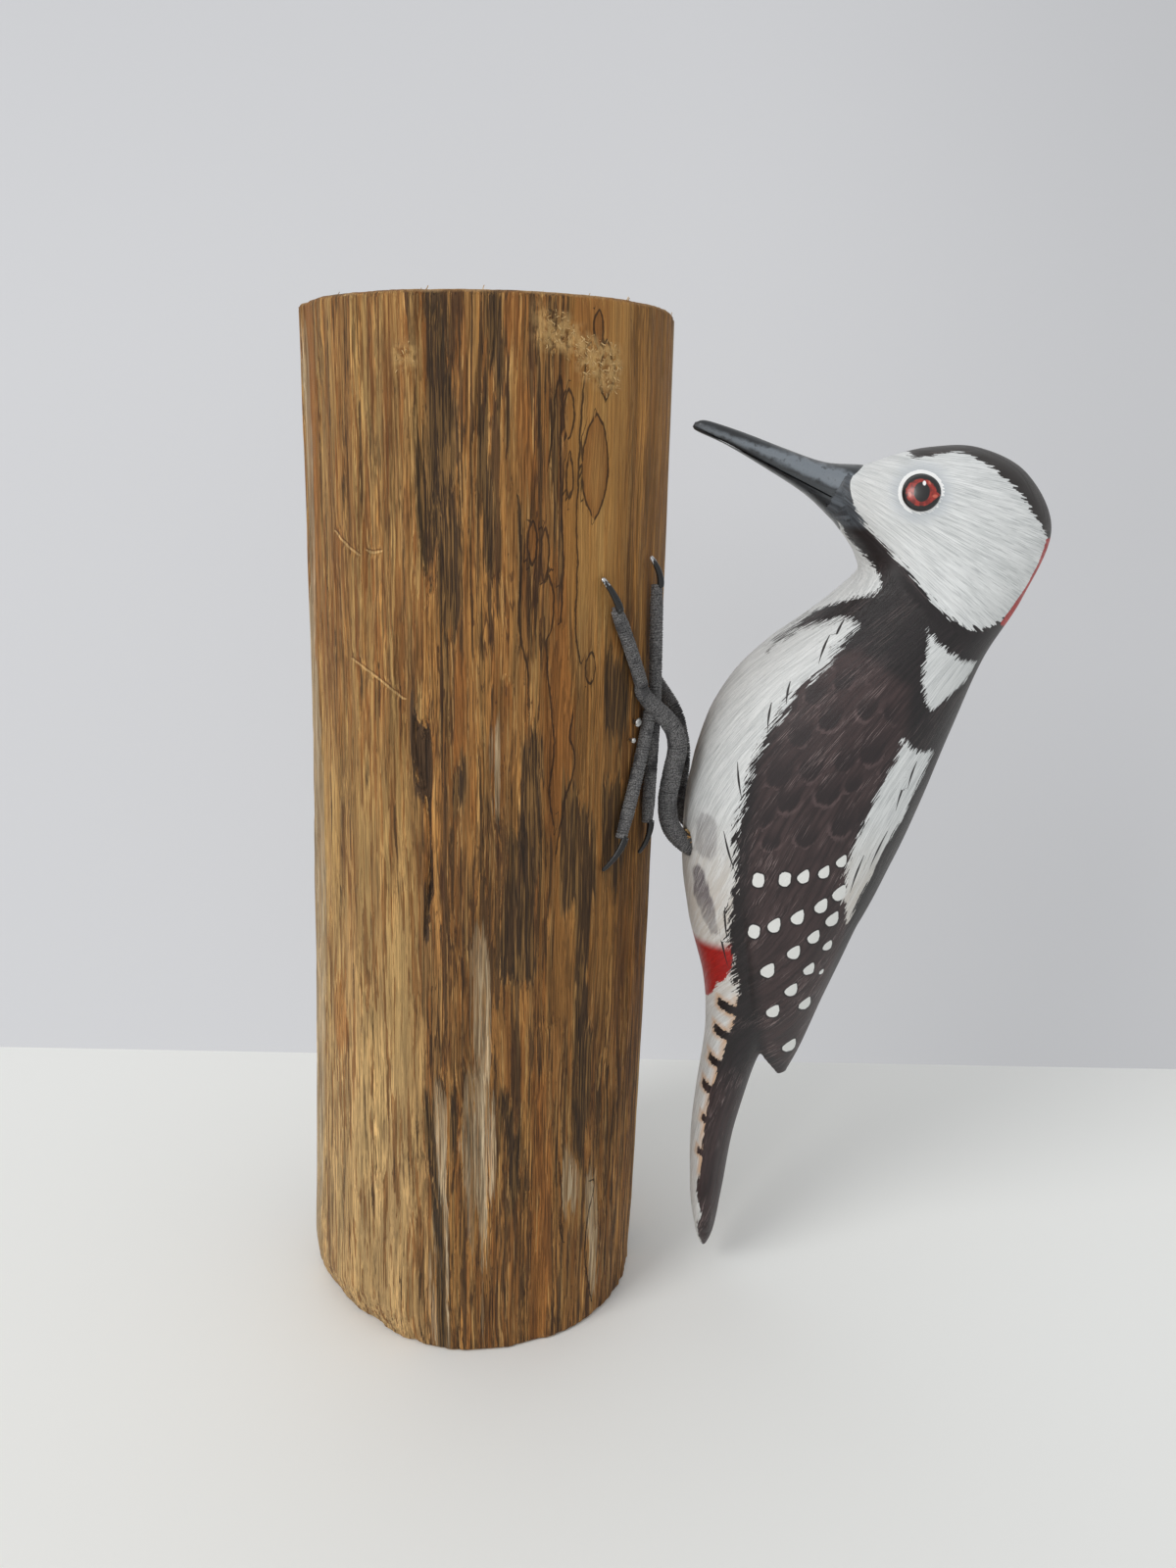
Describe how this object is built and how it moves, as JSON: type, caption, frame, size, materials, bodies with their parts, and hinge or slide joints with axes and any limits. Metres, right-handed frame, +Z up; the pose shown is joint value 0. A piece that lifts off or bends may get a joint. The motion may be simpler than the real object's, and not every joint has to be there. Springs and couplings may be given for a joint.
{
  "type": "carved wooden woodpecker on a log",
  "caption": "Life-size carved and painted wooden woodpecker clinging to an upright bark-stripped log with thread-wound wire feet.",
  "frame": {"origin": "middle of the log's flat base, on the surface that it stands on", "axes": "+Z up along the log; +X towards the bird, which faces back along about -X, 7 degrees round from it; -Y is the bird's left side"},
  "size_m": [0.1539, 0.0749, 0.215],
  "materials": {
    "log_wood": "bare spalted wood, bark stripped, dry and fibrous",
    "body_paint": "carved light wood, hand painted white, purple black and red, satin",
    "bill_paint": "carved wood painted blue black, semi gloss",
    "eye_paint": "glossy red and black painted lens",
    "leg_thread": "grey thread wound tightly round wire",
    "claw_wire": "blackened wire, paint chipped at the tips",
    "pin_steel": "bright nail heads"
  },
  "bodies": {
    "root": {"log": "log_wood", "head": "body_paint", "neck": "body_paint", "trunk": "body_paint", "tail": "body_paint", "wing_left": "body_paint", "wing_right": "body_paint", "bill_upper": "bill_paint", "bill_lower": "bill_paint", "eye_left": "eye_paint", "eye_right": "eye_paint", "leg_left": "leg_thread", "leg_right": "leg_thread", "toe_left_front_outer": "leg_thread", "toe_left_front_inner": "leg_thread", "toe_left_rear_outer": "leg_thread", "toe_left_rear_inner": "leg_thread", "toe_right_front_outer": "leg_thread", "toe_right_front_inner": "leg_thread", "toe_right_rear_outer": "leg_thread", "toe_right_rear_inner": "leg_thread", "claw_left_front_outer": "claw_wire", "claw_left_front_inner": "claw_wire", "claw_left_rear_outer": "claw_wire", "claw_left_rear_inner": "claw_wire", "claw_right_front_outer": "claw_wire", "claw_right_front_inner": "claw_wire", "claw_right_rear_outer": "claw_wire", "claw_right_rear_inner": "claw_wire", "pin_left_upper": "pin_steel", "pin_left_lower": "pin_steel", "pin_right_upper": "pin_steel", "pin_right_lower": "pin_steel"}
  },
  "joints": []
}
